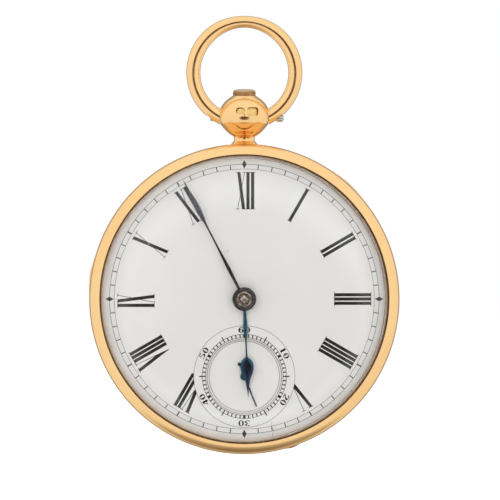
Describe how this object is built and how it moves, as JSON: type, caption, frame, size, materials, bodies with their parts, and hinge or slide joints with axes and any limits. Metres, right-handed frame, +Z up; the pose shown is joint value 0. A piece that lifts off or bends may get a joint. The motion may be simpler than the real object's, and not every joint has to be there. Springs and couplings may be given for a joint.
{
  "type": "pocket watch",
  "caption": "Open face pocket watch: key-wound lever movement in a round gold case with enamel dial, sunk seconds, hinged covers and a swinging bow",
  "frame": {"origin": "the inner top of the bow, where a hook or chain ring holds the watch", "axes": "Z up through the pendant to 12 o'clock's side, dial facing -Y, +X to 3 o'clock"},
  "size_m": [0.048, 0.0135, 0.0679],
  "materials": {
    "gold": "18 ct yellow gold, polished, lightly worn",
    "enamel": "white vitreous enamel on copper, glossy",
    "crystal_glass": "clear polished glass",
    "blued_steel": "heat-blued polished steel",
    "polished_steel": "polished steel",
    "gilt_brass": "fire-gilt brass with a fine matt grain",
    "spring_steel": "hardened and blued steel"
  },
  "bodies": {
    "bow": {"bow": "gold", "bow_screw": "polished_steel"},
    "case": {"case_band": "gold", "pendant": "gold", "lock_spring": "spring_steel", "front_hinge_pin": "polished_steel", "back_hinge_pin": "polished_steel", "dial": "enamel", "seconds_dial": "enamel", "pillar_plate": "gilt_brass", "three_quarter_plate": "gilt_brass", "pillar_1": "gilt_brass", "pillar_2": "gilt_brass", "pillar_3": "gilt_brass", "pillar_4": "gilt_brass", "plate_screw_1": "spring_steel", "plate_screw_2": "spring_steel", "plate_screw_3": "spring_steel", "plate_screw_4": "spring_steel", "case_screw_1": "spring_steel", "case_screw_2": "spring_steel", "balance_cock": "gilt_brass", "cock_screw": "spring_steel", "pallet_cock": "gilt_brass", "pallet_cock_screw": "spring_steel", "click_screw": "spring_steel", "click_spring": "spring_steel", "balance_spring": "spring_steel"},
    "push": {"push_piece": "polished_steel"},
    "bezel": {"bezel": "gold", "crystal": "crystal_glass"},
    "back": {"back_cover": "gold"},
    "dome": {"cuvette": "gold"},
    "seconds": {"fourth_wheel": "gilt_brass", "fourth_pinion": "polished_steel", "seconds_hand": "blued_steel"},
    "third": {"third_wheel": "gilt_brass", "third_pinion": "polished_steel"},
    "centre": {"centre_arbor": "polished_steel", "centre_wheel": "gilt_brass", "cannon_pinion": "polished_steel", "minute_hand": "blued_steel"},
    "hour": {"hour_wheel": "gilt_brass", "hour_hand": "blued_steel"},
    "minute_work": {"minute_wheel": "gilt_brass"},
    "escape": {"escape_wheel": "gilt_brass", "escape_pinion": "polished_steel"},
    "barrel": {"barrel": "gilt_brass", "barrel_cover": "gilt_brass", "mainspring": "spring_steel"},
    "winding": {"barrel_arbor": "polished_steel", "ratchet_wheel": "polished_steel"},
    "click": {"click": "polished_steel"},
    "lever": {"lever": "polished_steel", "pallet_arbor": "polished_steel"},
    "balance": {"balance_wheel": "gilt_brass", "balance_staff": "polished_steel", "roller": "polished_steel"},
    "index": {"regulator": "polished_steel"}
  },
  "joints": [
    {"name": "bow_swing", "type": "hinge", "parent": "bow", "child": "case", "pos_m": [0, 0, -0.01405], "axis": [-1, 0, 0], "range_deg": [-90, 90]},
    {"name": "push_press", "type": "slide", "parent": "case", "child": "push", "axis": [0, 0, -1], "range_m": [0, 0.0008], "stiffness_N_per_m": 300, "springref_m": -0.0003},
    {"name": "bezel_open", "type": "hinge", "parent": "case", "child": "bezel", "pos_m": [-0.02316, -0.00347, -0.03845], "axis": [-0.1564, 0, -0.9877], "range_deg": [0, 110]},
    {"name": "back_open", "type": "hinge", "parent": "case", "child": "back", "pos_m": [0.01575, 0.00292, -0.02463], "axis": [0.7431, 0, -0.6691], "range_deg": [0, 100]},
    {"name": "cuvette_open", "type": "hinge", "parent": "case", "child": "dome", "pos_m": [0.01575, 0.00292, -0.02463], "axis": [0.7431, 0, -0.6691], "range_deg": [0, 80]},
    {"name": "seconds_turn", "type": "hinge", "parent": "case", "child": "seconds", "pos_m": [0, 0.0002, -0.05407], "axis": [0, 1, 0], "continuous": true},
    {"name": "third_turn", "type": "hinge", "parent": "case", "child": "third", "pos_m": [0.00294, 0.0002, -0.04869], "axis": [0, 1, 0], "continuous": true},
    {"name": "centre_turn", "type": "hinge", "parent": "case", "child": "centre", "pos_m": [0, 0.0002, -0.04212], "axis": [0, 1, 0], "continuous": true},
    {"name": "hour_turn", "type": "hinge", "parent": "case", "child": "hour", "pos_m": [0, 0.0002, -0.04212], "axis": [0, 1, 0], "continuous": true},
    {"name": "minute_work_turn", "type": "hinge", "parent": "case", "child": "minute_work", "pos_m": [-0.00312, 0.0002, -0.04032], "axis": [0, 1, 0], "continuous": true},
    {"name": "escape_turn", "type": "hinge", "parent": "case", "child": "escape", "pos_m": [-0.00457, 0.0002, -0.0562], "axis": [0, 1, 0], "continuous": true},
    {"name": "barrel_turn", "type": "hinge", "parent": "case", "child": "barrel", "pos_m": [0.0045, 0.0002, -0.03433], "axis": [0, 1, 0], "continuous": true},
    {"name": "winding_turn", "type": "hinge", "parent": "case", "child": "winding", "pos_m": [0.0045, 0.0002, -0.03433], "axis": [0, 1, 0], "continuous": true},
    {"name": "click_lift", "type": "hinge", "parent": "case", "child": "click", "pos_m": [0.00882, 0.0033, -0.0359], "axis": [0, 1, 0], "range_deg": [0, 8], "stiffness_Nm_per_rad": 0.00002, "springref_deg": -5.73},
    {"name": "lever_rock", "type": "hinge", "parent": "case", "child": "lever", "pos_m": [-0.00759, 0.0002, -0.05366], "axis": [0, 1, 0], "range_deg": [-5, 5]},
    {"name": "balance_swing", "type": "hinge", "parent": "case", "child": "balance", "pos_m": [-0.01046, 0.0015, -0.04956], "axis": [0, 1, 0], "range_deg": [-250, 250], "stiffness_Nm_per_rad": 0.000001},
    {"name": "index_shift", "type": "hinge", "parent": "case", "child": "index", "pos_m": [-0.01046, 0.00325, -0.04956], "axis": [0, 1, 0], "range_deg": [-15, 15]}
  ],
  "couplings": [
    {"joint": "third_turn", "follows": "seconds_turn", "ratio": -0.13333},
    {"joint": "centre_turn", "follows": "seconds_turn", "ratio": 0.016667},
    {"joint": "hour_turn", "follows": "seconds_turn", "ratio": 0.0013889},
    {"joint": "minute_work_turn", "follows": "seconds_turn", "ratio": -0.0055556},
    {"joint": "escape_turn", "follows": "seconds_turn", "ratio": -8},
    {"joint": "barrel_turn", "follows": "seconds_turn", "ratio": -0.0020833},
    {"joint": "cuvette_open", "follows": "back_open", "ratio": 0.8}
  ]
}
